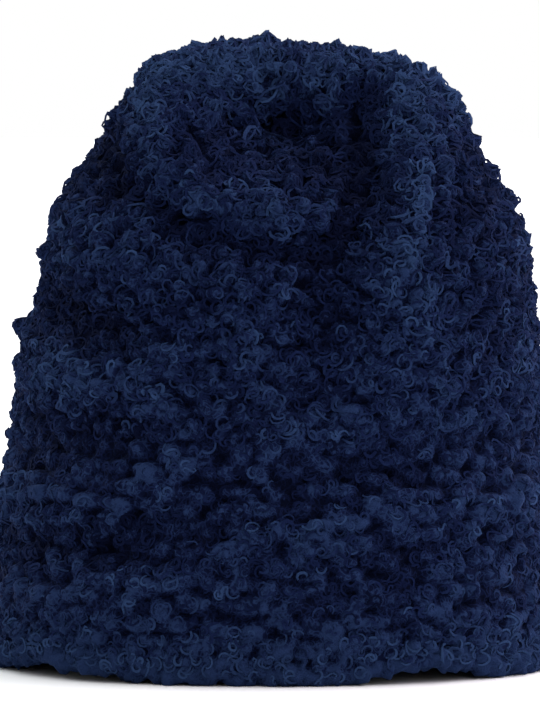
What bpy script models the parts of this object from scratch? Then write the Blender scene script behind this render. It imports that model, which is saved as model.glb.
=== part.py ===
"""A thick knitted beanie of curly boucle yarn, standing open on its rim.

The hat is knitted in one piece, so it is one solid: a soft bell-shaped wall that leans
forward at the top, where the last round of stitches is gathered into a small pit.
The front faces -Y, the opening faces down, and the rim rests on the plane Z = 0.
Tables are in millimetres, and MM turns them into Blender's metres.
"""

from collections import namedtuple
import math

import bmesh
import bpy
import numpy as np

MM = 0.001

# Driving sizes
WALL = 9.0            # thickness of the springy knit, without its loose curls
HEM_ROUND = 2.5       # rounding of the rim's two edges
COLUMNS = 72          # points round each ring
OUTER_RINGS = 40      # rings of the outer side, from the rim to the gathered pit
INNER_RINGS = 30      # rings of the inner side
GATHERS = 9           # pleats drawn into the pit
GATHER_DEPTH = 1.8    # height of a pleat over the mean surface
GATHER_REACH = 34.0   # distance from the pit over which the pleats run out
GATHER_START = 14.0   # distance from the pit at which they are deepest

# Each row is a section of the hat, from the rim up and over into the pit.
# height places its centre upwards, set towards the back and shift to the right.
# lean tips its plane forward and tip lowers its right side, both in degrees.
# The next four are its reach to each side, and the last two are the exponents of its
# front and back outline, where 2 is an ellipse and more is squarer.
Section = namedtuple(
    "Section", "height set shift lean tip left right front back square_front square_back"
)
SECTIONS = (
    Section(HEM_ROUND, 0.0, 0.0, 0.0, 0.0, 104.0, 104.0, 94.0, 94.0, 2.15, 2.15),
    Section(14.0, 0.0, 0.0, 0.0, 0.0, 104.0, 104.0, 94.0, 94.0, 2.15, 2.15),
    Section(34.0, 0.0, 0.0, 0.0, 0.0, 104.0, 103.5, 93.5, 93.0, 2.15, 2.15),
    Section(56.0, 0.0, 0.0, 0.0, 0.0, 101.8, 102.5, 90.5, 91.5, 2.15, 2.15),
    Section(78.0, 0.0, 0.0, 0.0, 0.0, 97.5, 101.0, 86.5, 90.0, 2.15, 2.15),
    Section(98.0, 0.0, 0.0, 1.5, 0.0, 93.5, 99.5, 85.0, 89.0, 2.15, 2.15),
    Section(117.0, -1.0, 0.0, 4.0, 0.0, 92.0, 97.8, 82.0, 88.0, 2.15, 2.15),
    Section(134.0, -3.0, 0.0, 7.5, 0.0, 85.5, 95.0, 79.0, 88.0, 2.15, 2.15),
    Section(150.0, -6.0, 0.0, 12.0, 0.0, 83.0, 92.5, 75.5, 87.5, 2.15, 2.15),
    Section(166.0, -11.0, 0.0, 18.0, 0.0, 79.0, 88.0, 70.0, 85.5, 2.15, 2.15),
    Section(180.0, -17.0, 0.0, 25.0, 0.5, 68.0, 78.0, 62.5, 81.0, 2.2, 2.25),
    Section(190.0, -22.0, 0.0, 32.0, 1.5, 58.0, 73.5, 55.5, 69.5, 2.2, 2.6),
    Section(196.5, -26.5, 0.0, 38.5, 2.5, 52.0, 67.5, 49.5, 52.5, 2.2, 3.1),
    Section(199.5, -29.5, 0.0, 43.0, 3.0, 44.0, 54.0, 44.0, 38.5, 2.2, 2.8),
    Section(200.0, -27.5, 1.0, 44.0, 3.0, 32.5, 35.0, 32.0, 28.5, 2.1, 2.4),
    Section(200.0, -22.0, 2.5, 44.0, 3.0, 21.0, 21.0, 20.0, 20.0, 2.0, 2.1),
    Section(198.5, -14.0, 4.0, 44.0, 3.0, 11.0, 11.0, 11.0, 11.0, 2.0, 2.0),
    Section(197.0, -8.5, 4.0, 44.0, 3.0, 5.0, 5.0, 5.0, 5.0, 2.0, 2.0),
)

# Each row is a soft fold. It follows a path of (x, z) points as seen from its side, and
# fades out at both ends. Width is the distance over which it dies away to the sides,
# and a depth under 0 is a ridge.
Fold = namedtuple("Fold", "name side width depth path")
FOLDS = (
    Fold("crown_lip", "front", 8, -3.0,
         ((-50, 206), (-48, 188), (-29, 173), (0, 168), (27, 173), (37, 184))),
    Fold("under_crown", "front", 10, 8.0,
         ((-68, 206), (-56, 180), (-30, 163), (4, 156), (26, 161), (42, 184))),
    Fold("long_trough", "front", 13, 10.0,
         ((28, 226), (33, 196), (31, 168), (20, 150), (15, 128), (14, 92))),
    Fold("long_ridge", "front", 12, -5.5, ((46, 232), (48, 190), (47, 150), (54, 98))),
    Fold("left_upper_pinch", "front", 12, 8.5, ((-100, 142), (-68, 128), (-44, 117))),
    Fold("left_middle_pinch", "front", 12, 8.0, ((-108, 77), (-74, 85), (-42, 93))),
    Fold("left_bulge", "front", 12, -4.0, ((-76, 106), (-28, 116))),
    Fold("band_crease_left", "front", 9, 7.0, ((-124, 44), (-66, 48), (-18, 63))),
    Fold("band_crease_right", "front", 9, 5.0, ((-30, 62), (30, 77), (108, 86))),
    Fold("band_roll", "front", 11, -2.5, ((-118, 27), (-60, 30), (-18, 44), (30, 58), (104, 66))),
    Fold("back_long_fold", "back", 15, 7.5, ((-22, 190), (-30, 134), (-44, 78))),
    Fold("back_short_fold", "back", 13, 7.0, ((34, 160), (50, 126), (68, 92))),
    Fold("back_low_crease", "back", 9, 5.5, ((90, 60), (40, 53), (-8, 47))),
    Fold("right_side_dent", "back", 13, 6.0, ((94, 142), (84, 84))),
)
FOLD_FADE = 26.0      # height over which the folds fade in above the rim
FOLD_TAPER = 0.6      # 0 would keep a fold's depth up to its ends
FOLD_LIMIT = 14.0     # depth that folds come near where they cross
SOFTENINGS = 8        # how often the direction of the folds is averaged
INSIDE_SHARE = 0.85   # how much of a fold's depth shows on the inner side

# Deep navy yarn
YARN_COLOUR = (0.010, 0.019, 0.060, 1.0)
YARN_ROUGHNESS = 0.85


def clear_scene():
    for obj in list(bpy.data.objects):
        bpy.data.objects.remove(obj, do_unlink=True)


def yarn_material():
    material = bpy.data.materials.new("navy_boucle_yarn")
    material.use_nodes = True
    shader = material.node_tree.nodes["Principled BSDF"]
    shader.inputs["Base Color"].default_value = YARN_COLOUR
    shader.inputs["Roughness"].default_value = YARN_ROUGHNESS
    shader.inputs["Metallic"].default_value = 0.0
    return material


def smooth_between(values, place):
    """The value at a place between the rows of a column, on a curve through all of them."""
    last = len(values) - 1
    row = min(int(place), last - 1)
    share = place - row
    before, start, end, after = (
        values[max(row - 1, 0)],
        values[row],
        values[row + 1],
        values[min(row + 2, last)],
    )
    return 0.5 * (
        2.0 * start
        + (end - before) * share
        + (2.0 * before - 5.0 * start + 4.0 * end - after) * share**2
        + (3.0 * (start - end) + after - before) * share**3
    )


def section_at(place):
    columns = zip(*SECTIONS)
    return Section(*(smooth_between(column, place) for column in columns))


def reach(section, angle):
    """Distance from a section's centre to its outline, in its own plane."""
    side = section.right if math.cos(angle) >= 0.0 else section.left
    behind = math.sin(angle) >= 0.0
    depth = section.back if behind else section.front
    square = section.square_back if behind else section.square_front
    across = abs(math.cos(angle) / side) ** square
    along = abs(math.sin(angle) / depth) ** square
    return (across + along) ** (-1.0 / square)


def ring_points(section):
    lean = math.radians(section.lean)
    tip = math.radians(section.tip)
    points = []
    for column in range(COLUMNS):
        angle = 2.0 * math.pi * column / COLUMNS
        distance = reach(section, angle)
        across = distance * math.cos(angle)
        back = distance * math.sin(angle)
        points.append((
            section.shift + across * math.cos(tip),
            section.set + back * math.cos(lean),
            section.height + back * math.sin(lean) - across * math.sin(tip),
        ))
    return points


def smooth_form(ring_count):
    """Points of the hat's outer side without its folds: rings by columns by XYZ."""
    places = np.linspace(0.0, len(SECTIONS) - 1, ring_count)
    return np.array([ring_points(section_at(place)) for place in places])


def outward_normals(form):
    round_the_ring = np.roll(form, -1, axis=1) - np.roll(form, 1, axis=1)
    up_the_wall = np.gradient(form, axis=0)
    normals = np.cross(round_the_ring, up_the_wall)
    return normals / np.linalg.norm(normals, axis=2, keepdims=True)


def eased(values):
    """A smooth step from 0 to 1."""
    held = np.clip(values, 0.0, 1.0)
    return held * held * (3.0 - 2.0 * held)


def along_path(points, path):
    """Each (x, z) point's distance to a path, and the share of the path's length there."""
    path = np.array(path, float)
    runs = np.diff(path, axis=0)
    lengths = np.linalg.norm(runs, axis=1)
    nearest = np.full(points.shape[:2], np.inf)
    share = np.zeros(points.shape[:2])
    for row, (start, run, length) in enumerate(zip(path, runs, lengths)):
        along = np.clip((points - start) @ run / length**2, 0.0, 1.0)
        away = np.linalg.norm(points - start - along[:, :, None] * run, axis=2)
        passed = (lengths[:row].sum() + along * length) / lengths.sum()
        share = np.where(away < nearest, passed, share)
        nearest = np.minimum(nearest, away)
    return nearest, share


def fold_depths(form, normals):
    """How far each point sinks into the folds that it lies on."""
    depths = np.zeros(form.shape[:2])
    for fold in FOLDS:
        away, share = along_path(form[:, :, [0, 2]], fold.path)
        facing = -normals[:, :, 1] if fold.side == "front" else normals[:, :, 1]
        across = np.exp(-((away / fold.width) ** 2))
        tapered = np.sin(np.pi * share) ** FOLD_TAPER
        depths += fold.depth * across * tapered * eased(facing * 3.0)
    held = FOLD_LIMIT * np.tanh(depths / FOLD_LIMIT)
    return held * eased(form[:, :, 2] / FOLD_FADE)


def gather_heights(form):
    """Pleats that run out from the pit over the crown."""
    pit = form[-1].mean(axis=0)
    from_pit = np.linalg.norm(form - pit, axis=2)
    angles = 2.0 * math.pi * np.arange(COLUMNS) / COLUMNS
    pleats = np.cos(GATHERS * angles)
    fade = eased((GATHER_REACH - from_pit) / (GATHER_REACH - GATHER_START))
    return GATHER_DEPTH * pleats * fade * eased(from_pit / GATHER_START)


def moved_along(form, normals, distances):
    return form + normals * distances[:, :, None]


def softened(normals):
    """Directions averaged with their neighbours', so that a deep fold's sides don't bunch up."""
    for _ in range(SOFTENINGS):
        beside = np.roll(normals, 1, axis=1) + np.roll(normals, -1, axis=1)
        below = np.concatenate([normals[:1], normals[:-1]])
        above = np.concatenate([normals[1:], normals[-1:]])
        normals = 2.0 * normals + beside + below + above
        normals = normals / np.linalg.norm(normals, axis=2, keepdims=True)
    return normals


def outer_side():
    form = smooth_form(OUTER_RINGS)
    normals = outward_normals(form)
    pleated = moved_along(form, normals, gather_heights(form))
    return moved_along(pleated, softened(normals), -fold_depths(form, normals))


def inner_side():
    form = smooth_form(INNER_RINGS)
    normals = outward_normals(form)
    lining = moved_along(form, normals, np.full(form.shape[:2], -WALL))
    return moved_along(lining, softened(normals), -INSIDE_SHARE * fold_depths(form, normals))


def hem_rings():
    """Under the rim: its outer rounding, its flat sole and its inner rounding."""
    form = smooth_form(OUTER_RINGS)[:2]
    outline, normals = form[0], outward_normals(form)[0]
    diagonal = HEM_ROUND * (1.0 - math.sqrt(0.5))
    profile = (
        (diagonal, diagonal),
        (HEM_ROUND, 0.0),
        (WALL - HEM_ROUND, 0.0),
        (WALL - diagonal, diagonal),
    )
    rings = []
    for inset, height in profile:
        ring = outline - normals * inset
        ring[:, 2] = height
        rings.append(ring)
    return rings


def knitted_hat(material):
    """One loft: over the outer side from the pit, under the rim, and up the inner side."""
    mesh_data = bmesh.new()
    sections = [*outer_side()[::-1], *hem_rings(), *inner_side()]
    rings = [[mesh_data.verts.new(point * MM) for point in ring] for ring in sections]
    for ring, next_ring in zip(rings, rings[1:]):
        for column in range(COLUMNS):
            mesh_data.faces.new((
                ring[column - 1],
                next_ring[column - 1],
                next_ring[column],
                ring[column],
            ))
    mesh_data.faces.new(rings[0])
    mesh_data.faces.new(reversed(rings[-1]))
    mesh = bpy.data.meshes.new("beanie_knit")
    mesh_data.to_mesh(mesh)
    mesh_data.free()
    mesh.materials.append(material)
    mesh.shade_smooth()
    return bpy.data.objects.new("beanie_knit", mesh)


def main():
    clear_scene()
    hat = bpy.data.collections.new("beanie")
    bpy.context.scene.collection.children.link(hat)
    hat.objects.link(knitted_hat(yarn_material()))


main()
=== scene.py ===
"""A thick navy boucle beanie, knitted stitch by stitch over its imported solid.

The solid's outer and inner sides are read into one grid, which runs from the hollow's
ceiling down the inside, round the rim, up the outside and into the gathered pit. Rows of
stitches are laid out on that grid, and each stitch has a few tufts. A shell swells at the
stitches and the tufts, and curls of yarn grow from the tufts. Lengths are in millimetres
and angles in degrees unless a comment says otherwise, and MM turns millimetres into metres.
"""

from collections import namedtuple
import math

import bpy
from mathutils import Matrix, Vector
from mathutils.bvhtree import BVHTree
from mathutils.kdtree import KDTree
import numpy as np


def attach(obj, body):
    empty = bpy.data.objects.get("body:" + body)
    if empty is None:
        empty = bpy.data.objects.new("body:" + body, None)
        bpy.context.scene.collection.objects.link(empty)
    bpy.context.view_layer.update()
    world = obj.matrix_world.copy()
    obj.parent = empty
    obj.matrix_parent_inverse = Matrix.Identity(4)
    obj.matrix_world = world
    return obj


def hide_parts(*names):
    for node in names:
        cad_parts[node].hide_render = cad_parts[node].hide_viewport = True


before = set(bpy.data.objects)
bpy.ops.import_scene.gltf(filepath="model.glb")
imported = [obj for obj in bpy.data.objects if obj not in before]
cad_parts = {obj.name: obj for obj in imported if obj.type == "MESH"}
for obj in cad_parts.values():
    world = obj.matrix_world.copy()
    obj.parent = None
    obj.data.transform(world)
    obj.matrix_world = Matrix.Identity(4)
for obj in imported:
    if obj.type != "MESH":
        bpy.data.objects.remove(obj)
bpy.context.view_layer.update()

MM = 0.001
SEED = 20416  # of draw, which every random number comes from
TINY = 1e-12  # least length of a vector, so that none is divided by zero

# The grid
COLUMNS = 540  # points round the hat
OUTER_ROUNDS = 210  # rings of the outer side
INNER_ROUNDS = 28  # rings of the inner side
HEM_STEPS = 5  # rings under the rim
HEM_ROUND = 2.5  # height at which the rim's rounding starts
FAR = 300.0  # start of a ray outside the hat
TRIAL_RINGS = 3  # trial rings for each fan, which space the real ones evenly
TRIAL_STEP = 8  # columns between the points of a trial ring
FLOOR_GAP = 0.2  # height of the lowest points over the floor

# Where the rings are read. Each row is a fan of rays through a point on the hat's middle:
# height places the point upwards, setback towards the back and shift to the right, lean
# tips the fan forward, tip lowers its right side, and rise lifts its rays out of its plane.
Round = namedtuple("Round", "height setback shift lean tip rise", defaults=[0.0] * 5)
OUTER_FANS = (
    Round(2.5),
    Round(34.0),
    Round(66.0),
    Round(98.0, lean=1.5),
    Round(117.0, -1.0, lean=4.0),
    Round(134.0, -3.0, lean=7.5),
    Round(150.0, -6.0, lean=12.0),
    Round(164.0, -8.0, lean=18.0, rise=3.0),
    Round(174.0, -6.0, 1.0, 26.0, 0.5, 10.0),
    Round(178.0, 0.0, 2.0, 34.0, 1.0, 20.0),
    Round(178.0, 6.0, 3.0, 40.0, 2.0, 30.0),
    *(Round(177.4, 11.8, 4.0, 44.0, 2.0, rise) for rise in (40.0, 50.0, 60.0, 70.0, 80.0, 88.0)),
)
INNER_FANS = (
    *OUTER_FANS[:4],
    Round(134.0, -3.0, lean=7.5),
    Round(150.0, -2.0, lean=12.0, rise=2.0),
    Round(158.0, 1.0, 1.0, lean=20.0, rise=14.0),
    *(
        Round(160.0, 3.0, 2.0, lean, 0.0, rise)
        for lean, rise in ((30.0, 30.0), (36.0, 46.0), (40.0, 60.0), (44.0, 74.0), (44.0, 88.0))
    ),
)

# Where the soft rim stands off the ground: the middle of each rise and its reach to both
# sides, in degrees from the hat's right towards its back, and its height.
Rise = namedtuple("Rise", "angle reach height")
HEM_RISES = (
    Rise(-143.0, 34.0, 5.6),
    Rise(-109.0, 9.0, 0.9),
    Rise(-54.0, 24.0, 6.0),
    Rise(38.0, 24.0, 2.4),
    Rise(84.0, 18.0, 1.4),
    Rise(132.0, 28.0, 3.0),
)
HEM_SOFT = 32.0  # height over which a rise dies away

# The rows of stitches. A column's path is measured along the surface from the rim, and is
# below zero inside.
ROW_HEIGHT = 7.2  # one row of stitches
STITCHES = 46  # stitches in a full round
PIT_REACH = 26.0  # reach of the gathered rounds about the pit
CEILING_REACH = 40.0  # and about the middle of the hollow's ceiling
GATHER_START = 0.4  # middle of the first gathered round, in rows from the end
GATHER_GAP = 3.0  # between the plain rows and the gathered rounds
GATHER_STITCH = 9.0  # width of a gathered stitch
FEWEST_STITCHES = 5  # in the smallest round
NARROW_COLUMN = 0.2  # a grid column counts as at least this wide
INSIDE_FROM = -8.0  # the path up to which the yarn is the inside's

# How much the stitches differ: their places as shares of a row's height and a stitch's
# width, the ranges of their sizes and swelling as shares, and their slant.
STITCH_STRAY_UP = 0.09
STITCH_STRAY_ALONG = 0.08
STITCH_WIDTHS = (0.88, 1.12)
STITCH_HEIGHTS = (0.9, 1.12)
STITCH_SWELLS = (0.72, 1.25)
STITCH_SLANT = 9.0

# The shell over the stitches and tufts, which are domes on the surface
NEAREST = 4  # domes that are looked at for each point
STITCH_WIDE = 0.56  # half width of a stitch's dome, as a share of the stitch
STITCH_HIGH = 0.60  # and its half height
RIB_WIDER = 0.16  # how much wider a ribbed stitch's dome is
RIB_LOWER = 0.08  # and how much lower
BUMP = 0.1  # height of an even stitch over the solid
GAP = 3.0  # depth of the gaps between the stitches
EDGE_TUFT = 0.35  # height of a tuft outside every stitch, as a share of its own
FUZZ = 0.16  # unevenness of the yarn under the curls

# The tufts, which share their stitch's room evenly. Their half size and their strays from
# the middle are shares of a tuft's room, and the ranges are shares of the even value.
TUFT_HALF = 0.60
TUFT_SIZES = (0.85, 1.15)
TUFT_STRAY_ALONG = 0.16
TUFT_STRAY_UP = 0.13
TUFT_TURN = 16.0  # how far a tuft's axes turn
TUFT_SPREAD = 0.40  # how much the heights differ
TUFT_HEIGHTS = (0.4, 2.2)
TUFT_CURLS = (0.6, 1.4)

# Clumps that stand out of the front's outline: place to the right and height, half size,
# height over the knit, and how many times a tuft's curls they have
Stray = namedtuple("Stray", "right up wide tall curls")
STRAYS = (
    Stray(-97.0, 126.0, 4.0, 7.0, 8.0),
    Stray(-90.0, 150.0, 2.0, 1.6, 2.0),
    Stray(-4.0, 238.0, 8.0, 2.8, 4.0),
    Stray(96.0, 160.0, 8.0, 1.8, 3.0),
    Stray(-50.0, 225.0, 6.0, 1.6, 3.0),
)

# How far the knit is pressed in at each height
PRESSED = (
    (130.0, 0.0), (155.0, -0.4), (168.0, 0.2), (181.0, 1.6), (200.0, 2.0), (215.0, 2.1),
)

# Painted light and shade: how much lighter the yarn is painted at each height, darker on the
# crown's front and lighter at the rim and the top
PAINTED_SHADE_BY_HEIGHT = (
    (0.0, 0.12), (14.0, 0.04), (30.0, -0.07), (55.0, -0.04), (95.0, 0.0), (125.0, -0.06),
    (150.0, -0.08), (170.0, -0.17), (190.0, -0.33), (204.0, -0.17), (214.0, 0.05), (232.0, 0.08),
)

# Painted shade: hollows are painted darker and bumps lighter, by their depth, which is taken from
# the average over so many columns and rings.
HOLLOW_COLUMNS = 12.0
HOLLOW_RINGS = 9.0
HOLLOW_LIMIT = 5.0  # the deepest that counts
HOLLOW_PAINTED_SHADE = 0.12  # how much darker the painted shade is, for each millimetre

# Painted light and shade: how much lighter the shell is painted at the top of a stitch, of a
# ribbed stitch and of a tuft than in the gaps between them
STITCH_TOP_PAINTED_LIGHT = 0.25
RIB_TOP_PAINTED_LIGHT = 0.50
TUFT_TOP_PAINTED_LIGHT = 0.5
FULL_TUFT = 1.7  # height from which a tuft has all of its tone
MEAN_SHARE = 0.4  # about the mean of a stitch's painted light and shade, which is taken off it
POLE_TONE = 0.2  # tone at the two ends of the grid

# The curls' tones, with painted shade towards the stitches' edges
STITCH_EDGE_PAINTED_SHADE = 0.20  # painted shade: how much darker they are painted at a stitch's edge than in its middle
RIB_EDGE_PAINTED_SHADE = 0.36  # how much more that is in the ribbed band
TUFT_SHADE = 0.14  # how much their tone strays from tuft to tuft
CURL_TONE = 0.30  # tone of the darkest curls
CURL_LIGHTER = 0.18  # how much lighter the lightest are
LIGHT_CURLS = 2.6  # the higher, the fewer of the curls are light
RISEN_PAINTED_LIGHT = 0.16  # painted shade: how much lighter a strand is painted where it stands high over the shell than down by it
RISEN = (-0.4, 1.6)  # the heights between which it gets lighter

# How the yarn lies along the hat's height, from the rim up to each zone's top. rib is how
# wide and flat a stitch is, and how much painted light and shade it gets. A stitch has tufts,
# so many along the row by so many up, each as high as tuft. It also has so many knots and
# loops, which are the curls. strand is the radius of a curl's strand, length how long it is,
# turn how far it bends, steep its largest tilt, lay the share of the curls that keep to the
# row, and lift how high they arch.
Zone = namedtuple(
    "Zone", "name top rib tufts_along tufts_up tuft knots loops strand length turn steep lay lift"
)
ZONES = (
    Zone("rim", 20.0, 0.2, 3, 2, 1.9, 0.6, 7.4, 0.50, 7.8, 250.0, 32.0, 0.20, 0.4),
    Zone("low_band", 40.0, 0.8, 2, 1, 1.7, 0.5, 5.0, 0.50, 6.8, 220.0, 22.0, 0.55, 0.3),
    Zone("soft_band", 62.0, 0.4, 3, 2, 1.7, 0.5, 7.2, 0.50, 7.8, 240.0, 28.0, 0.35, 0.3),
    Zone("ribbed_band", 90.0, 1.0, 2, 1, 1.7, 0.5, 4.6, 0.48, 6.2, 200.0, 18.0, 0.75, 0.3),
    Zone("side", 120.0, 0.4, 3, 2, 1.8, 0.6, 7.6, 0.52, 8.5, 250.0, 32.0, 0.30, 0.4),
    Zone("upper_side", 158.0, 0.1, 3, 2, 2.0, 0.6, 8.4, 0.54, 9.0, 260.0, 38.0, 0.30, 0.5),
    Zone("crown", 204.0, 0.0, 2, 1, 2.3, 0.8, 7.2, 0.56, 11.5, 320.0, 36.0, 0.05, 0.4),
    Zone("top", 1000.0, 0.0, 2, 1, 2.3, 0.8, 7.2, 0.56, 11.5, 320.0, 38.0, 0.05, 0.4),
)
INSIDE = Zone("inside", 0.0, 0.3, 2, 1, 1.2, 0.4, 1.6, 0.54, 8.5, 240.0, 24.0, 0.40, 0.4)
ALL_ZONES = (*ZONES, INSIDE)

# The two kinds of curl. points is the number along one. thick is its strand, stretch its
# length and turns how far it bends, all as shares of the zone's. sink is how deep its ends
# lie, and flat how much less it tilts.
Kind = namedtuple("Kind", "name points thick stretch turns sink flat")
KNOT = Kind("knots", 8, 1.4, 1.0, 1.1, 0.5, 0.3)
LOOP = Kind("loops", 8, 1.0, 1.0, 1.0, 0.7, 0.0)

# Where curls grow
INSIDE_REACH = 60.0  # how far up inside
UNDER_RIM = -0.5  # none where the normal points down by so much
ROOT_SPREAD = 0.55  # how far they stray from their tuft, as a share of its half size
ROW_KEPT = 0.6  # how much less they stray up and down in the ribbed band

# How a curl bends
CURL_SPREAD = 0.22  # how much curls differ in length
CURL_LENGTHS = (0.6, 1.5)  # the limits of that, as shares of the zone's
TURNS = (0.7, 1.25)  # range of their bends, as shares of the zone's
WIND = 0.5  # how unevenly they bend
S_SHARE = 0.12  # share of the curls that bend back again, as an S
S_TURN = 0.9  # how far those bend, as a share of the others' bend
LEVEL_STRAY = 0.25  # how far a curl that keeps to its row turns from it, in radians

# How a curl stands over the shell
TILTS = (0.2, 1.0)  # range of the tilts, as shares of the steepest
TILT_STRAY = 0.4  # how far the way that a curl leans strays, in radians
LAID_TILT = 0.45  # how much less curls tilt where all keep to the row
ARCH = 0.6  # power of the arch's sine: the smaller, the fuller the arch
LIFTS = (0.6, 1.35)  # range of the arches' heights, as shares of the zone's
DIVE = 5.0  # how deep a curl dives into the shell, for a tilt with a sine of 1
DIVE_FROM = 0.26  # over this sine
DRAPE_FROM = 9.0  # height from which a curl is laid on the shell
MISSED = -3.0  # height for a curl's point that has no shell under it
RIDE = 0.5  # how far a strand rides over the shell, as a share of itself
CURL_GAP = 0.3  # between a strand and the floor

# The strands of the curls
CURL_SIDES = 3  # sides of a curl's tube, so that one triangle closes each end
STRANDS = (0.8, 1.2)  # range of the radii, as shares of the zone's
THIN_END = 0.75  # radius of a strand's ends, as a share of its middle's
CURL_FUZZ = 0.08  # unevenness of its surface, as a share of the strand
SOFT_LIGHT = 3.4  # how far a strand's normals lean towards the surface's
NUDGE = 1e-9  # keeps a strand's side from vanishing

# The yarn's colours at its darkest, middle and lightest tone, how much its fine strands
# lighten it, and how high these are
Yarn = namedtuple("Yarn", "name dark middle light fine bump")
CORE_YARN = Yarn(
    "boucle_core",
    (0.0009, 0.0018, 0.0086), (0.0031, 0.0059, 0.0262), (0.0108, 0.0222, 0.066), 0.6, 0.3,
)
CURL_YARN = Yarn(
    "boucle_curls",
    (0.0013, 0.0026, 0.0130), (0.0047, 0.0093, 0.0375), (0.0180, 0.0376, 0.097), 0.1, 0.1,
)
YARN_SURFACE = {
    "Roughness": 0.85,
    "Specular IOR Level": 0.03,
    "Sheen Weight": 0.06,
    "Sheen Roughness": 0.35,
    "Sheen Tint": (0.12, 0.26, 0.80, 1.0),
}

# How much the yarn's tone strays within a stitch and over patches of its dye, and the
# noises of both. A noise's scale is in waves for a metre.
MOTTLE = 0.4
MOTTLE_NOISE = {"Scale": 160.0, "Detail": 2.0}
DYE_PATCHES = 0.45
DYE_NOISE = {"Scale": 34.0, "Detail": 1.0}

# The fine strands in the yarn: the lines on which either of two noises has its middle value
FINE_SCALES = (380.0, 470.0)
FINE_SEEDS = (1.0, 5.0)
FINE_BEND = {"Detail": 0.0, "Distortion": 0.6}
FINE_LEVEL = 0.5  # a noise's value along a strand's middle
FINE_WIDTH = 0.11  # how far the noise strays from it across the strand
FINE_MEAN = 0.45  # about the mean of the strands, which is taken off
BUMP_STRENGTH = 0.7

# The layout of the materials' nodes
NODE_WIDE = 180
NODE_HIGH = 220

# The studio. A lamp's place is its direction from the hat: to the side, the front and up.
FLOOR_HALF = 30.0  # metres
FLOOR_SURFACE = {"Base Color": (0.93, 0.93, 0.93, 1.0), "Roughness": 0.9}
ROOM_WHITE = 1.0  # the room as the camera sees it
ROOM_LIGHT = 0.55  # the light that it gives
Lamp = namedtuple("Lamp", "name light spread side front height tint")
LAMPS = (
    Lamp("broad_lamp", 1.05, 70.0, 0.45, 0.60, 0.60, (1.0, 0.92, 1.0)),
    Lamp("left_lamp", 1.8, 70.0, -0.62, -0.46, 0.80, (0.92, 1.0, 1.0)),
    Lamp("right_lamp", 3.3, 70.0, 0.74, -0.40, 0.72, (1.0, 0.94, 1.0)),
)

# The camera looks at the hat's front, nearly level and just above the floor.
CAMERA_AWAY = 2.2  # metres
CAMERA_RISE = 2.5
CAMERA_SIGHT = 50.0  # how far it sees, in metres
PIXEL = 0.37  # size of a pixel at the hat
IMAGE = (540, 720)
RIM_ROW = 663  # the pixel row of the floor at the hat's sides
MIDDLE_COLUMN = 273  # the pixel column of the hat's middle
SENSOR = 36.0  # width of the camera's sensor


def unit(vectors):
    """The vectors, each made 1 long."""
    return vectors / np.maximum(np.linalg.norm(vectors, axis=-1, keepdims=True), TINY)


def smooth_between(values, place):
    """The value at a place between the rows of a column, on a curve through all of them."""
    last = len(values) - 1
    row = min(int(place), last - 1)
    share = place - row
    before = values[max(row - 1, 0)]
    start = values[row]
    end = values[row + 1]
    after = values[min(row + 2, last)]
    return 0.5 * (
        2.0 * start
        + (end - before) * share
        + (2.0 * before - 5.0 * start + 4.0 * end - after) * share**2
        + (3.0 * (start - end) + after - before) * share**3
    )


def fan_at(fans, place):
    """The fan at a place between the rows of a table of fans."""
    return Round(*(smooth_between(column, place) for column in zip(*fans)))


def fan_rays(fan):
    """The fan's middle point and the outward direction of each of its rays."""
    lean = math.radians(fan.lean)
    tip = math.radians(fan.tip)
    rise = math.radians(fan.rise)
    right = np.array([math.cos(tip), 0.0, -math.sin(tip)])
    back = np.array([0.0, math.cos(lean), math.sin(lean)])
    up = unit(np.cross(right, back))
    angles = 2.0 * math.pi * np.arange(COLUMNS) / COLUMNS
    flat = np.outer(np.cos(angles), right) + np.outer(np.sin(angles), back)
    middle = np.array([fan.shift, fan.setback, fan.height])
    return middle, unit(flat * math.cos(rise) + up * math.sin(rise))


def cast_ring(solid, fan, from_outside):
    """Where the rays of a fan meet the solid, from outside or from the fan's middle."""
    middle, rays = fan_rays(fan)
    start, way = (FAR, -1.0) if from_outside else (0.0, 1.0)
    hits = [solid.ray_cast(Vector(middle + start * ray), Vector(way * ray))[0] for ray in rays]
    return np.array([tuple(hit) for hit in hits])


def even_places(solid, fans, count, from_outside):
    """Places along the fans whose rings lie equally far apart."""
    coarse = np.linspace(0.0, len(fans) - 1, TRIAL_RINGS * len(fans))
    rings = np.array([
        cast_ring(solid, fan_at(fans, place), from_outside)[::TRIAL_STEP] for place in coarse
    ])
    steps = np.linalg.norm(np.diff(rings, axis=0), axis=2).mean(axis=1)
    travelled = np.concatenate([[0.0], np.cumsum(steps)])
    return np.interp(np.linspace(0.0, travelled[-1], count), travelled, coarse)


def side_of(solid, fans, count, from_outside):
    places = even_places(solid, fans, count, from_outside)
    return np.array([cast_ring(solid, fan_at(fans, place), from_outside) for place in places])


def hem_between(inner_ring, outer_ring):
    """Rings that round the rim from its inside to its outside."""
    rings = []
    for step in range(1, HEM_STEPS + 1):
        turned = math.pi * step / (HEM_STEPS + 1)
        share = 0.5 * (1.0 - math.cos(turned))
        ring = inner_ring + (outer_ring - inner_ring) * share
        ring[:, 2] = HEM_ROUND * (1.0 - math.sqrt(math.sin(turned)))
        rings.append(ring)
    return np.array(rings)


def lifted_hem(rings):
    """The rings with the rim's soft waves."""
    angles = 360.0 * np.arange(COLUMNS) / COLUMNS
    rise = np.zeros(COLUMNS)
    for each in HEM_RISES:
        away = np.abs((angles - each.angle + 180.0) % 360.0 - 180.0) / each.reach
        rise += each.height * np.cos(0.5 * math.pi * np.minimum(away, 1.0)) ** 2
    share = np.clip(1.0 - rings[:, :, 2] / HEM_SOFT, 0.0, 1.0)
    lifted = rings.copy()
    lifted[:, :, 2] += rise * share**2
    return lifted


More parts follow.
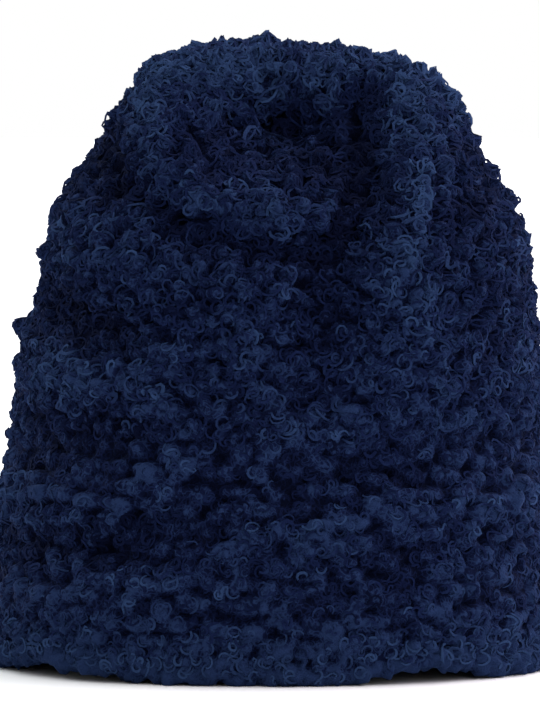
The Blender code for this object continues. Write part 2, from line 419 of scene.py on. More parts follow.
def read_surface(knit):
    """Rings by columns by XYZ, and the number of the first outer ring."""
    mesh = knit.data
    points = [vertex.co / MM for vertex in mesh.vertices]
    solid = BVHTree.FromPolygons(points, [tuple(face.vertices) for face in mesh.polygons])
    outer = side_of(solid, OUTER_FANS, OUTER_ROUNDS, True)
    inner = side_of(solid, INNER_FANS, INNER_ROUNDS, False)[::-1]
    hem = hem_between(inner[-1], outer[0])
    return lifted_hem(np.concatenate([inner, hem, outer])), len(inner) + len(hem)


class Surface:
    """The hat's smooth surface, with each column's path measured from the rim."""

    def __init__(self, rings, first_outer):
        self.rings = rings
        steps = np.linalg.norm(np.diff(rings, axis=0), axis=2)
        travelled = np.concatenate([np.zeros((1, COLUMNS)), np.cumsum(steps, axis=0)])
        self.path = travelled - travelled[first_outer]
        around = np.roll(rings, -1, axis=1) - np.roll(rings, 1, axis=1)
        along = np.gradient(rings, axis=0)
        self.normals = unit(np.cross(around, along))
        self.around = unit(around)
        self.column_width = np.linalg.norm(around, axis=2) / 2.0
        self.lengths = self.path[-1]
        self.depths = self.path[0]

    def ring_at(self, path, column):
        """The place among the rings at a distance from the rim, for whole columns."""
        places = np.empty(len(path))
        for each in np.unique(column):
            chosen = column == each
            places[chosen] = np.interp(path[chosen], self.path[:, each], np.arange(len(self.path)))
        return places

    def locate(self, path, column):
        """Ring places of points given by path and column, both between grid lines."""
        left = np.floor(column).astype(int)
        share = column - left
        low = self.ring_at(path, left % COLUMNS)
        high = self.ring_at(path, (left + 1) % COLUMNS)
        return low * (1.0 - share) + high * share

    def blend(self, grid, ring, column):
        """A grid's values at places between its rings and columns."""
        low = np.clip(ring.astype(int), 0, len(grid) - 2)
        left = np.floor(column).astype(int)
        up = np.clip(ring - low, 0.0, 1.0)
        right = column - left
        if grid.ndim == 3:
            up, right = up[:, None], right[:, None]
        left, next_left = left % COLUMNS, (left + 1) % COLUMNS
        lower = grid[low, left] * (1.0 - right) + grid[low, next_left] * right
        upper = grid[low + 1, left] * (1.0 - right) + grid[low + 1, next_left] * right
        return lower * (1.0 - up) + upper * up


def blur_weights(count, reach, is_round):
    """Each point's weights over its neighbours in a row or a round of points."""
    away = np.abs(np.arange(count)[:, None] - np.arange(count)[None, :]).astype(float)
    if is_round:
        away = np.minimum(away, count - away)
    weights = np.exp(-0.5 * (away / reach) ** 2)
    return weights / weights.sum(axis=1, keepdims=True)


def hollow_depths(surface):
    """How far the surface lies under the average of its surroundings."""
    rings, columns = surface.path.shape
    around = blur_weights(columns, HOLLOW_COLUMNS, True)
    along = blur_weights(rings, HOLLOW_RINGS, False)
    average = np.stack(
        [along @ surface.rings[:, :, axis] @ around for axis in range(3)], axis=2
    )
    depth = ((average - surface.rings) * surface.normals).sum(axis=2)
    return np.clip(depth, -HOLLOW_LIMIT, HOLLOW_LIMIT)


def painted_shade_map(surface):
    """How much painted light or shade each point of the grid gets: by its height, darker in its
    hollows and lighter on its bumps.
    """
    by_height = np.interp(surface.rings[:, :, 2], *zip(*PAINTED_SHADE_BY_HEIGHT))
    return by_height - HOLLOW_PAINTED_SHADE * hollow_depths(surface)


Row = namedtuple("Row", "path count offset is_plain")
Stitches = namedtuple("Stitches", "path column width height swell slant")
# A tuft's shade is its tone: a random stray from tuft to tuft, with painted shade by height, in
# hollows and towards its stitch's edge
Tufts = namedtuple("Tufts", "stitch middle along up wide high height shade wanted")


def rows_of_knitting(surface):
    """Plain rows from inside to outside, then the gathered rounds about both ends."""
    rows = []
    first = int(surface.depths.min() / ROW_HEIGHT)
    last = int(surface.lengths.max() / ROW_HEIGHT) + 1
    for number in range(first, last):
        path = np.full(COLUMNS, (number + 0.5) * ROW_HEIGHT)
        rows.append(Row(path, STITCHES, 0.5 * (number % 2), True))
    ends = ((surface.lengths, -ROW_HEIGHT, PIT_REACH), (surface.depths, ROW_HEIGHT, CEILING_REACH))
    for end, step, reach in ends:
        for number in range(int(reach / ROW_HEIGHT) + 1):
            path = end + (number + GATHER_START) * step
            rows.append(Row(path, None, 0.5 * (number % 2), False))
    return rows


def row_columns(surface, path_of_column, row):
    """Columns of a row's stitches, evenly spaced along the row, and the width of one."""
    columns = np.arange(COLUMNS)
    rings = surface.ring_at(path_of_column, columns)
    points = surface.blend(surface.rings, rings, columns.astype(float))
    steps = np.linalg.norm(np.roll(points, -1, axis=0) - points, axis=1)
    travelled = np.concatenate([[0.0], np.cumsum(steps)])
    count = row.count or max(FEWEST_STITCHES, round(travelled[-1] / GATHER_STITCH))
    marks = (np.arange(count) + row.offset) % count * travelled[-1] / count
    return np.interp(marks, travelled, np.arange(COLUMNS + 1)), travelled[-1] / count


def between_columns(values, columns):
    """The values of whole columns at places between them."""
    return np.interp(columns, np.arange(COLUMNS), values, period=COLUMNS)


def stitches_of_row(surface, row):
    """Path, column and width of each stitch of a row, without those that gathers replace."""
    held = np.clip(row.path, surface.depths, surface.lengths)
    columns, width = row_columns(surface, held, row)
    path = between_columns(held, columns)
    if row.is_plain:
        end = between_columns(surface.lengths, columns) - PIT_REACH - GATHER_GAP
        start = between_columns(surface.depths, columns) + CEILING_REACH + GATHER_GAP
        kept = (path < end) & (path > start)
        columns, path = columns[kept], path[kept]
    return np.array([path, columns, np.full(len(path), width)])


def lay_out_stitches(surface, draw):
    """All stitches, each a little off its even place, size and slant."""
    rows = [stitches_of_row(surface, row) for row in rows_of_knitting(surface)]
    path, column, width = np.concatenate(rows, axis=1)
    total = len(path)
    per_column = surface.blend(surface.column_width, surface.locate(path, column), column)
    columns_in_stitch = width / np.maximum(per_column, NARROW_COLUMN)
    return Stitches(
        path=path + draw.normal(0.0, STITCH_STRAY_UP, total) * ROW_HEIGHT,
        column=column + draw.normal(0.0, STITCH_STRAY_ALONG, total) * columns_in_stitch,
        width=width * draw.uniform(*STITCH_WIDTHS, total),
        height=ROW_HEIGHT * draw.uniform(*STITCH_HEIGHTS, total),
        swell=draw.uniform(*STITCH_SWELLS, total),
        slant=draw.normal(0.0, math.radians(STITCH_SLANT), total),
    )


def stitch_frames(surface, stitches):
    """Middle, along-the-row, up-the-wall and outward vectors of each stitch."""
    ring = surface.locate(stitches.path, stitches.column)
    middle = surface.blend(surface.rings, ring, stitches.column)
    normal = unit(surface.blend(surface.normals, ring, stitches.column))
    along = surface.blend(surface.around, ring, stitches.column)
    along = unit(along - (along * normal).sum(axis=1, keepdims=True) * normal)
    up = np.cross(normal, along)
    cos, sin = np.cos(stitches.slant)[:, None], np.sin(stitches.slant)[:, None]
    return middle, along * cos + up * sin, up * cos - along * sin, normal


def zone_numbers(surface, stitches):
    """The zone of each stitch: by height on the outside, and the last number inside."""
    middle = stitch_frames(surface, stitches)[0]
    tops = np.array([zone.top for zone in ZONES])
    numbers = np.searchsorted(tops, middle[:, 2])
    return np.where(stitches.path < INSIDE_FROM, len(ZONES), numbers)


def of_zones(field, zones):
    """A field of the zones, for an array of zone numbers."""
    return np.array([getattr(each, field) for each in ALL_ZONES])[zones]


def sizes_about_one(draw, spread, limits, total):
    return np.clip(draw.lognormal(0.0, spread, total), *limits)


def tuft_numbers(zone_of_stitch):
    """The stitch of each tuft, and the tuft's column and row in it."""
    counts = zip(of_zones("tufts_along", zone_of_stitch), of_zones("tufts_up", zone_of_stitch))
    found = [
        (stitch, column, row)
        for stitch, (along, up) in enumerate(counts)
        for column in range(along)
        for row in range(up)
    ]
    return np.array(found).T


def stitch_tufts(surface, painted_shades, stitches, zone_of_stitch, draw):
    """The tufts of all stitches, in their stitches' order."""
    stitch, column, row = tuft_numbers(zone_of_stitch)
    total = len(stitch)
    zone = zone_of_stitch[stitch]
    width, height = stitches.width[stitch], stitches.height[stitch]
    wide = width / of_zones("tufts_along", zone)
    high = height / of_zones("tufts_up", zone)
    across = (column + 0.25 + 0.5 * (row % 2)) * wide - 0.5 * width
    upward = (row + 0.5) * high - 0.5 * height
    across += draw.normal(0.0, TUFT_STRAY_ALONG, total) * wide
    upward += draw.normal(0.0, TUFT_STRAY_UP, total) * high
    turned = draw.normal(0.0, math.radians(TUFT_TURN), total)[:, None]

    # Painted shade: a stitch is painted darker towards its edge, where to_edge is 1, than in its
    # middle
    to_edge = np.minimum((2.0 * across / width) ** 2 + (2.0 * upward / height) ** 2, 1.0)
    # The painted shade by height and in hollows, at each stitch
    ring = surface.locate(stitches.path, stitches.column)
    painted_shade_of_stitch = surface.blend(painted_shades, ring, stitches.column)
    shade = draw.normal(0.0, TUFT_SHADE, total) + painted_shade_of_stitch[stitch]
    shade += (STITCH_EDGE_PAINTED_SHADE + RIB_EDGE_PAINTED_SHADE * of_zones("rib", zone)) * (MEAN_SHARE - to_edge)

    middle, along, up, normal = (vectors[stitch] for vectors in stitch_frames(surface, stitches))
    is_bare = (stitches.path[stitch] < -INSIDE_REACH) | (normal[:, 2] < UNDER_RIM)
    return Tufts(
        stitch=stitch,
        middle=middle + across[:, None] * along + upward[:, None] * up,
        along=along * np.cos(turned) + up * np.sin(turned),
        up=up * np.cos(turned) - along * np.sin(turned),
        wide=wide * TUFT_HALF * draw.uniform(*TUFT_SIZES, total),
        high=high * TUFT_HALF * draw.uniform(*TUFT_SIZES, total),
        height=of_zones("tuft", zone) * sizes_about_one(draw, TUFT_SPREAD, TUFT_HEIGHTS, total),
        shade=shade,
        wanted=np.where(is_bare, 0.0, draw.uniform(*TUFT_CURLS, total)),
    )


def stray_tufts(surface, stitch_middles):
    """The strays as tufts without a height, each with the stitch that lies nearest to it."""
    found = []
    for each in STRAYS:
        away = np.hypot(surface.rings[:, :, 0] - each.right, surface.rings[:, :, 2] - each.up)
        away = np.where(surface.path > 0.0, away, FAR)
        ring, column = np.unravel_index(np.argmin(away), away.shape)
        middle = surface.rings[ring, column]
        normal = surface.normals[ring, column]
        along = surface.around[ring, column]
        along = unit(along - along.dot(normal) * normal)
        up = np.cross(normal, along)
        nearest = int(np.argmin(np.linalg.norm(stitch_middles - middle, axis=1)))
        found.append((nearest, middle, along, up, each.wide, each.wide, 0.0, 0.0, each.curls))
    return Tufts(*(np.array(values) for values in zip(*found)))


def lay_out_tufts(surface, painted_shades, stitches, zone_of_stitch, draw):
    """The tufts of all stitches, and the strays after them."""
    own = stitch_tufts(surface, painted_shades, stitches, zone_of_stitch, draw)
    added = stray_tufts(surface, stitch_frames(surface, stitches)[0])
    return Tufts(*(np.concatenate([some, more]) for some, more in zip(own, added)))


def domes(points, middle, along, up, wide, high, heights):
    """How high the highest of the domes around each point is there."""
    tree = KDTree(len(middle))
    for index, place in enumerate(middle):
        tree.insert(Vector(place), index)
    tree.balance()
    near = np.array([
        [index for _, index, _ in tree.find_n(Vector(point), NEAREST)] for point in points
    ])
    highest = np.zeros(len(points))
    for which in near.T:
        offset = points - middle[which]
        across = (offset * along[which]).sum(axis=1) / wide[which]
        upward = (offset * up[which]).sum(axis=1) / high[which]
        dome = np.sqrt(np.clip(1.0 - across**2 - upward**2, 0.0, 1.0))
        highest = np.maximum(highest, dome * heights[which])
    return highest


def swellings(surface, stitches, tufts, zone_of_stitch):
    """How full the stitch is at each point of the grid, and how high its tuft is there."""
    points = surface.rings.reshape(-1, 3)
    middle, along, up, _ = stitch_frames(surface, stitches)
    rib = of_zones("rib", zone_of_stitch)
    wide = (STITCH_WIDE + RIB_WIDER * rib) * stitches.width
    high = (STITCH_HIGH - RIB_LOWER * rib) * stitches.height
    stitch = domes(points, middle, along, up, wide, high, stitches.swell)
    tuft = domes(
        points, tufts.middle, tufts.along, tufts.up, tufts.wide, tufts.high, tufts.height
    )
    tuft *= EDGE_TUFT + (1.0 - EDGE_TUFT) * np.minimum(stitch, 1.0)
    shape = surface.path.shape
    return stitch.reshape(shape), tuft.reshape(shape)


def shell_rings(surface, stitch, tuft, stray_places, draw):
    """The grid's points on the swollen stitches."""
    pressed = np.interp(surface.rings[:, :, 2], *zip(*PRESSED))
    heights = (BUMP + GAP) * stitch - GAP + tuft - pressed
    for each, place in zip(STRAYS, stray_places):
        away = np.linalg.norm(surface.rings - place, axis=2) / each.wide
        heights += each.tall * np.clip(1.0 - away**2, 0.0, 1.0)
    roughness = draw.normal(0.0, FUZZ, heights.shape)
    rings = surface.rings + surface.normals * (heights + roughness)[:, :, None]
    rings[:, :, 2] = np.maximum(rings[:, :, 2], FLOOR_GAP)
    return rings


def shell_painted_light(surface, stitch, tuft):
    """The shell's painted light and shade at each point of the grid, from the shape alone: lighter
    on the tops of stitches and tufts, darker in the gaps.
    """
    bottoms = [0.0, *(zone.top for zone in ZONES[:-1])]
    rib = np.interp(surface.rings[:, :, 2], bottoms, [zone.rib for zone in ZONES])
    by_stitch = np.minimum(stitch, 1.0) ** 2
    tones = (STITCH_TOP_PAINTED_LIGHT + RIB_TOP_PAINTED_LIGHT * rib) * by_stitch - MEAN_SHARE * RIB_TOP_PAINTED_LIGHT * rib
    return tones + TUFT_TOP_PAINTED_LIGHT * np.clip(tuft / FULL_TUFT, 0.0, 1.0) ** 2


def add_object(name, data):
    obj = bpy.data.objects.new(name, data)
    bpy.context.scene.collection.objects.link(obj)
    return obj


def mesh_from(name, points, quads, triangles=(), tones=None, normals=None):
    """A smooth-shaded mesh object from arrays of points in millimetres and faces."""
    quads = np.asarray(quads, np.int32).reshape(-1, 4)
    triangles = np.asarray(triangles, np.int32).reshape(-1, 3)
    mesh = bpy.data.meshes.new(name)
    mesh.vertices.add(len(points))
    mesh.vertices.foreach_set("co", (points * MM).astype(np.float32).ravel())
    corners = np.concatenate([quads.ravel(), triangles.ravel()])
    starts = np.concatenate([
        np.arange(len(quads)) * 4,
        quads.size + np.arange(len(triangles)) * 3,
    ])
    mesh.loops.add(len(corners))
    mesh.loops.foreach_set("vertex_index", corners.astype(np.int32))
    mesh.polygons.add(len(starts))
    mesh.polygons.foreach_set("loop_start", starts.astype(np.int32))
    mesh.update(calc_edges=True)
    mesh.shade_smooth()
    if tones is not None:
        attribute = mesh.attributes.new("tone", "FLOAT", "POINT")
        attribute.data.foreach_set("value", tones.astype(np.float32))
    if normals is not None:
        mesh.normals_split_custom_set_from_vertices(normals.tolist())
    return add_object(name, mesh)


def skin(name, rings, tones, closed_at):
    """A sheet through rings of points, closed by a point at its first or last ring."""
    rows, columns = tones.shape
    row = np.arange(rows - 1)[:, None] * columns
    here = np.arange(columns)
    beside = (here + 1) % columns
    quads = np.stack([
        row + here, row + beside, row + columns + beside, row + columns + here,
    ], axis=2)
    pole = np.full(columns, rows * columns)
    if closed_at == "first":
        end = rings[0].mean(axis=0)
        fan = np.stack([pole, beside, here], axis=1)
    else:
        end = rings[-1].mean(axis=0)
        top = (rows - 1) * columns
        fan = np.stack([pole, top + here, top + beside], axis=1)
    points = np.concatenate([rings.reshape(-1, 3), end[None, :]])
    return mesh_from(name, points, quads, fan, np.append(tones.ravel(), POLE_TONE))


def knit_shells(rings, tones):
    """The skin of swollen stitches: the inside with the lower outside, and the rest."""
    split = len(rings) // 2
    return (
        skin("knit_lower", rings[: split + 1], tones[: split + 1], "first"),
        skin("knit_upper", rings[split:], tones[split:], "last"),
    )


def solid_of(pieces):
    """The pieces as one body that rays can be cast on, in millimetres."""
    points, faces = [], []
    for piece in pieces:
        first = len(points)
        points += [vertex.co / MM for vertex in piece.data.vertices]
        faces += [[first + corner for corner in face.vertices] for face in piece.data.polygons]
    return BVHTree.FromPolygons(points, faces)


class Roots:
    """Where the curls of a kind grow: the tuft and zone of each, and a frame at it."""

    def __init__(self, tufts, zone_of_stitch, kind, draw):
        zone_of_tuft = zone_of_stitch[tufts.stitch]
        in_stitch = of_zones("tufts_along", zone_of_tuft) * of_zones("tufts_up", zone_of_tuft)
        wanted = of_zones(kind.name, zone_of_tuft) / in_stitch * tufts.wanted
        counts = np.floor(wanted + draw.uniform(0.0, 1.0, len(wanted))).astype(int)
        tuft = np.repeat(np.arange(len(counts)), counts)
        self.kind = kind
        self.total = len(tuft)
        self.zone = zone_of_tuft[tuft]
        self.shade = tufts.shade[tuft]
        self.along, self.up = tufts.along[tuft], tufts.up[tuft]
        self.normal = np.cross(self.along, self.up)
        in_row = 1.0 - ROW_KEPT * self.of_zone("rib")
        across = draw.normal(0.0, ROOT_SPREAD, self.total) * tufts.wide[tuft]
        upward = draw.normal(0.0, ROOT_SPREAD, self.total) * tufts.high[tuft] * in_row
        self.middle = (
            tufts.middle[tuft] + across[:, None] * self.along + upward[:, None] * self.up
        )

    def of_zone(self, field):
        return of_zones(field, self.zone)


def headings(roots, draw):
    """The way that each curl runs at each of its points, in radians from its row."""
    kind, total = roots.kind, roots.total
    share = np.linspace(0.0, 1.0, kind.points)
    turn = np.radians(roots.of_zone("turn")) * draw.uniform(*TURNS, total) * kind.turns
    turn *= np.where(draw.uniform(0.0, 1.0, total) < 0.5, -1.0, 1.0)
    wind = draw.normal(0.0, WIND, total)
    is_s_shape = draw.uniform(0.0, 1.0, total) < S_SHARE
    heading = turn[:, None] * (share + wind[:, None] * (share**2 - share))
    s_heading = S_TURN * turn[:, None] * np.sin(math.pi * share)[None, :]
    random_start = draw.uniform(-math.pi, math.pi, total)
    level_start = -0.5 * turn + draw.normal(0.0, LEVEL_STRAY, total)
    level_start += np.where(draw.uniform(0.0, 1.0, total) < 0.5, math.pi, 0.0)
    keeps_level = draw.uniform(0.0, 1.0, total) < roots.of_zone("lay")
    start = np.where(keeps_level, level_start, random_start)
    return np.where(is_s_shape[:, None], s_heading, heading) + start[:, None]


def flat_curls(roots, draw):
    """The flat shape of each curl, along and up from its root."""
    sizes = sizes_about_one(draw, CURL_SPREAD, CURL_LENGTHS, roots.total)
    length = roots.of_zone("length") * sizes * roots.kind.stretch
    heading = headings(roots, draw)
    step = (length / (roots.kind.points - 1))[:, None]
    middle = 0.5 * (heading[:, 1:] + heading[:, :-1])
    nothing = np.zeros((roots.total, 1))
    across = np.concatenate([nothing, np.cumsum(np.cos(middle) * step, axis=1)], axis=1)
    upward = np.concatenate([nothing, np.cumsum(np.sin(middle) * step, axis=1)], axis=1)
    across -= across.mean(axis=1, keepdims=True)
    upward -= upward.mean(axis=1, keepdims=True)
    return across, upward


def bow(places):
    """How far the middle of each curl lies from the middle of its ends."""
    half = places.shape[1] // 2
    return places[:, half - 1: half + 1].mean(axis=1) - places[:, [0, -1]].mean(axis=1)


def stand_up(roots, across, upward, draw):
    """The curls' heights: arches whose ends sink, tilted so that their middles rise."""
    kind, total = roots.kind, roots.total
    steep = np.radians(roots.of_zone("steep")) * (1.0 - kind.flat)
    tilt = steep * draw.uniform(*TILTS, total) * (1.0 - LAID_TILT * roots.of_zone("lay"))
    tilt_way = np.arctan2(bow(upward), bow(across)) + draw.normal(0.0, TILT_STRAY, total)
    way_across, way_upward = np.cos(tilt_way)[:, None], np.sin(tilt_way)[:, None]
    leaning = across * way_across + upward * way_upward
    squeeze = leaning * (1.0 - np.cos(tilt))[:, None]
    arch = np.sin(math.pi * np.linspace(0.0, 1.0, kind.points))[None, :] ** ARCH
    lift = roots.of_zone("lift") * draw.uniform(*LIFTS, total)
    raised = leaning * np.sin(tilt)[:, None] + lift[:, None] * arch
    sinks = kind.sink * (1.0 - arch) + DIVE * np.maximum(np.sin(tilt) - DIVE_FROM, 0.0)[:, None]
    return across - squeeze * way_across, upward - squeeze * way_upward, raised, sinks


def shell_heights(shell, points, normals):
    """How far the shell lies over each point along its normal."""
    found = np.full(len(points), MISSED)
    for index, (point, normal) in enumerate(zip(points, normals)):
        start = Vector(point + normal * DRAPE_FROM)
        hit = shell.ray_cast(start, Vector(-normal), 2.0 * DRAPE_FROM)
        if hit[0] is not None:
            found[index] = DRAPE_FROM - hit[3]
    return found


def curl_lines(roots, shell, draw):
    """The middle lines of the curls, with their heights over the shell and their strands."""
    kind = roots.kind
    across, upward = flat_curls(roots, draw)
    across, upward, raised, sinks = stand_up(roots, across, upward, draw)
    flat = (
        roots.middle[:, None, :]
        + across[:, :, None] * roots.along[:, None, :]
        + upward[:, :, None] * roots.up[:, None, :]
    )
    normal = np.repeat(roots.normal[:, None, :], kind.points, axis=1)
    under = shell_heights(shell, flat.reshape(-1, 3), normal.reshape(-1, 3))
    under = under.reshape(flat.shape[:2])

    # A strand bridges the shell's gaps and rides over its tops
    eased = under.copy()
    eased[:, 1:-1] = 0.25 * under[:, :-2] + 0.5 * under[:, 1:-1] + 0.25 * under[:, 2:]
    strand = kind.thick * roots.of_zone("strand") * draw.uniform(*STRANDS, roots.total)
    over = np.maximum(eased + raised, under + RIDE * strand[:, None] - sinks)
    lines = flat + over[:, :, None] * normal
    lines[:, :, 2] = np.maximum(lines[:, :, 2], CURL_GAP + strand[:, None])
    return lines, over - under, strand


def tube_sides(lines, normals):
    """Two directions across each line at each of its points, which don't twist round it."""
    forward = unit(np.gradient(lines, axis=1))
    side = np.empty_like(lines)
    previous = normals
    for point in range(lines.shape[1]):
        way = forward[:, point]
        previous = unit(previous - (previous * way).sum(axis=1, keepdims=True) * way + NUDGE)
        side[:, point] = previous
    return side, np.cross(forward, side)


def tube_faces(total, count):
    """The quads and end triangles of so many tubes with so many rounds of points each."""
    first = np.arange(total)[:, None, None] * count * CURL_SIDES
    low = first + np.arange(count - 1)[None, :, None] * CURL_SIDES
    high = low + CURL_SIDES
    here = np.arange(CURL_SIDES)[None, None, :]
    beside = (here + 1) % CURL_SIDES
    walls = np.stack([low + here, low + beside, high + beside, high + here], axis=3)
    near_ends = (first + here[:, :, ::-1])[:, 0]
    far_ends = (first + (count - 1) * CURL_SIDES + here)[:, 0]
    return walls.reshape(-1, 4), np.concatenate([near_ends, far_ends])


def tubes(lines, normals, radii):
    """Points, their normals, quads and end triangles of the curls' tubes.

    The normals lean towards those of the surface, so that the light falls off softly
    over a strand, as it does in fuzz."""
    side, third = tube_sides(lines, normals)
    angles = 2.0 * math.pi * (np.arange(CURL_SIDES) + 0.5) / CURL_SIDES
    outward = (
        side[:, :, None, :] * np.cos(angles)[None, None, :, None]
        + third[:, :, None, :] * np.sin(angles)[None, None, :, None]
    )
    points = (outward * radii[:, :, None, None] + lines[:, :, None, :]).reshape(-1, 3)
    soft = unit(outward + SOFT_LIGHT * normals[:, None, None, :]).reshape(-1, 3)
    return points, soft, *tube_faces(*lines.shape[:2])


def curl_tones(roots, over, draw):
    """A tone for each point of each curl: most are dark, a few are light, with the tuft's painted
    shade and painted shade where the strand lies low by the shell.
    """
    own = draw.uniform(0.0, 1.0, roots.total) ** LIGHT_CURLS
    risen = np.clip((over - RISEN[0]) / (RISEN[1] - RISEN[0]), 0.0, 1.0)
    return (CURL_TONE + CURL_LIGHTER * own + roots.shade)[:, None] + RISEN_PAINTED_LIGHT * risen


def curl_pieces(shell, tufts, zone_of_stitch, draw):
    """One joined mesh of curls for each kind and zone."""
    pieces = []
    for kind in (KNOT, LOOP):
        roots = Roots(tufts, zone_of_stitch, kind, draw)
        lines, over, strand = curl_lines(roots, shell, draw)
        tone = curl_tones(roots, over, draw)
        swelling = np.sin(math.pi * np.linspace(0.0, 1.0, kind.points))
        radii = strand[:, None] * (THIN_END + (1.0 - THIN_END) * swelling[None, :])
        for number, each in enumerate(ALL_ZONES):
            chosen = roots.zone == number
            if not chosen.any():
                continue
            points, soft, walls, ends = tubes(lines[chosen], roots.normal[chosen], radii[chosen])
            points += draw.normal(0.0, CURL_FUZZ * each.strand, points.shape)
            points[:, 2] = np.maximum(points[:, 2], FLOOR_GAP)
            tones = np.repeat(tone[chosen].ravel(), CURL_SIDES)
            name = f"{kind.name}_{each.name}"
            pieces.append(mesh_from(name, points, walls, ends, tones, soft))
    return pieces


def node(tree, kind, column, row, **inputs):
    """A new node at a place in the tree's layout, with these values for its inputs."""
    made = tree.nodes.new(kind)
    made.location = (column * NODE_WIDE, -row * NODE_HIGH)
    for name, value in inputs.items():
        made.inputs[name.replace("_", " ")].default_value = value
    return made


def calculation(tree, operation, column, row, *values):
    """The result of a calculation with sockets and numbers."""
    made = node(tree, "ShaderNodeMath", column, row)
    made.operation = operation
    for socket, value in zip(made.inputs, values):
        if isinstance(value, float):
            socket.default_value = value
        else:
            tree.links.new(value, socket)
    return made.outputs["Value"]


def noise(tree, where, column, row, **inputs):
    made = node(tree, "ShaderNodeTexNoise", column, row, **inputs)
    tree.links.new(where, made.inputs["Vector"])
    return made


def fine_strands(tree, where, scale, seed, row):
    """High along the winding lines on which a noise has its middle value."""
    winding = noise(tree, where, -10, row, Scale=scale, **FINE_BEND)
    winding.noise_dimensions = "4D"
    winding.inputs["W"].default_value = seed
    away = calculation(tree, "SUBTRACT", -9, row, winding.outputs["Fac"], FINE_LEVEL)
    size = calculation(tree, "ABSOLUTE", -8, row, away)
    share = calculation(tree, "MULTIPLY_ADD", -7, row, size, -1.0 / FINE_WIDTH, 1.0)
    return calculation(tree, "MAXIMUM", -6, row, share, 0.0)


def yarn_tone(tree, where, strands, fine):
    """The mesh's tone, strayed by the mottling, the patches of dye and the fine strands."""
    tone = node(tree, "ShaderNodeAttribute", -6, 0)
    tone.attribute_name = "tone"
    mottle = noise(tree, where, -6, 1, **MOTTLE_NOISE)
    dye = noise(tree, where, -6, 2, **DYE_NOISE)
    mean = 0.5 * (MOTTLE + DYE_PATCHES) + FINE_MEAN * fine
    total = calculation(tree, "ADD", -5, 0, tone.outputs["Fac"], -mean)
    total = calculation(tree, "MULTIPLY_ADD", -4, 1, mottle.outputs["Fac"], MOTTLE, total)
    total = calculation(tree, "MULTIPLY_ADD", -3, 2, dye.outputs["Fac"], DYE_PATCHES, total)
    return calculation(tree, "MULTIPLY_ADD", -2, 3, strands, fine, total)


def new_material(name, surface):
    """A material and its shader, with the values of a surface for the shader's inputs."""
    material = bpy.data.materials.new(name)
    material.use_nodes = True
    shader = material.node_tree.nodes["Principled BSDF"]
    for field, value in surface.items():
        shader.inputs[field].default_value = value
    return material, shader


def yarn_material(yarn):
    """Curly navy yarn: its tone painted darker at its roots as shade, mottled, softly hazed and
    fuzzy.
    """
    material, shader = new_material(yarn.name, YARN_SURFACE)
    tree = material.node_tree
    where = node(tree, "ShaderNodeTexCoord", -11, 0).outputs["Object"]
    first, second = (
        fine_strands(tree, where, scale, seed, row)
        for scale, seed, row in zip(FINE_SCALES, FINE_SEEDS, (4, 5))
    )
    strands = calculation(tree, "MAXIMUM", -5, 4, first, second)
    ramp = node(tree, "ShaderNodeValToRGB", -1, 0)
    stops = ramp.color_ramp.elements
    stops.new(0.5)
    for stop, colour in zip(stops, (yarn.dark, yarn.middle, yarn.light)):
        stop.color = (*colour, 1.0)
    tree.links.new(yarn_tone(tree, where, strands, yarn.fine), ramp.inputs["Fac"])
    tree.links.new(ramp.outputs["Color"], shader.inputs["Base Color"])

    depth = yarn.bump * MM
    bump = node(tree, "ShaderNodeBump", -1, 3, Strength=BUMP_STRENGTH, Distance=depth)
    tree.links.new(strands, bump.inputs["Height"])
    tree.links.new(bump.outputs["Normal"], shader.inputs["Normal"])
    return material


def beanie():
    """The knitted shells and their curls, which stand in for the solid."""
    draw = np.random.default_rng(SEED)
    surface = Surface(*read_surface(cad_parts["beanie_knit"]))
    stitches = lay_out_stitches(surface, draw)
    zone_of_stitch = zone_numbers(surface, stitches)
    # Painted light and shade by height and in hollows
    painted_shades = painted_shade_map(surface)
    tufts = lay_out_tufts(surface, painted_shades, stitches, zone_of_stitch, draw)
    stitch, tuft = swellings(surface, stitches, tufts, zone_of_stitch)
    rings = shell_rings(surface, stitch, tuft, tufts.middle[-len(STRAYS):], draw)
    shells = knit_shells(rings, shell_painted_light(surface, stitch, tuft) + painted_shades)
    curls = curl_pieces(solid_of(shells), tufts, zone_of_stitch, draw)

    for pieces, yarn in ((shells, CORE_YARN), (curls, CURL_YARN)):
        material = yarn_material(yarn)
        for piece in pieces:
            piece.data.materials.append(material)
            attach(piece, "root")
    for piece in shells:
        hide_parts("beanie_knit")


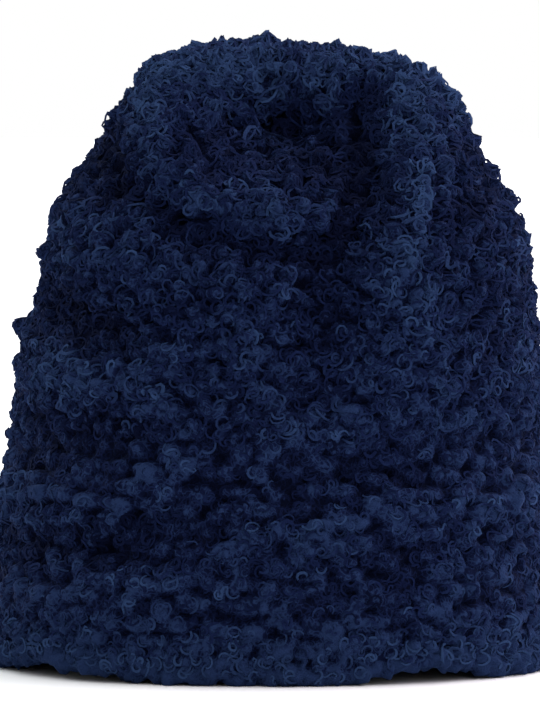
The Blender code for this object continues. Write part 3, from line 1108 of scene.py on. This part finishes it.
def studio():
    """A wide white floor."""
    half = FLOOR_HALF / MM
    points = np.array([(-half, -half, 0), (half, -half, 0), (half, half, 0), (-half, half, 0)])
    floor = mesh_from("white_floor", points, [(0, 1, 2, 3)])
    floor.data.materials.append(new_material("white_paper", FLOOR_SURFACE)[0])


def room():
    """An even room, white to the camera and less bright as a light."""
    world = bpy.data.worlds.new("white_room")
    world.use_nodes = True
    tree = world.node_tree
    background = tree.nodes["Background"]
    background.inputs["Color"].default_value = (1.0, 1.0, 1.0, 1.0)
    path = node(tree, "ShaderNodeLightPath", -3, 0)
    strength = node(tree, "ShaderNodeMapRange", -2, 0, To_Min=ROOM_LIGHT, To_Max=ROOM_WHITE)
    tree.links.new(path.outputs["Is Camera Ray"], strength.inputs["Value"])
    tree.links.new(strength.outputs["Result"], background.inputs["Strength"])
    bpy.context.scene.world = world


def lamps():
    """A broad lamp at the front's right, and one on each side towards the back."""
    for each in LAMPS:
        lamp = bpy.data.lights.new(each.name, "SUN")
        lamp.energy = each.light
        lamp.angle = math.radians(each.spread)
        lamp.color = each.tint
        toward_lamp = Vector((each.side, -each.front, each.height))
        turned = toward_lamp.to_track_quat("Z", "Y").to_euler()
        add_object(each.name, lamp).rotation_euler = turned


def camera():
    data = bpy.data.cameras.new("camera")
    data.sensor_fit = "AUTO"
    data.sensor_width = SENSOR
    data.lens = CAMERA_AWAY / (PIXEL * MM) * SENSOR / IMAGE[1]
    data.clip_end = CAMERA_SIGHT
    aim = Vector((
        (IMAGE[0] / 2 - MIDDLE_COLUMN) * PIXEL * MM,
        0.0,
        (RIM_ROW - IMAGE[1] / 2) * PIXEL * MM,
    ))
    rise = math.radians(CAMERA_RISE)
    obj = add_object("camera", data)
    obj.location = aim + Vector((0.0, -math.cos(rise), math.sin(rise))) * CAMERA_AWAY
    obj.rotation_euler = (aim - obj.location).to_track_quat("-Z", "Y").to_euler()
    bpy.context.scene.camera = obj


beanie()
studio()
room()
lamps()
camera()
bpy.context.scene.view_settings.view_transform = "Standard"
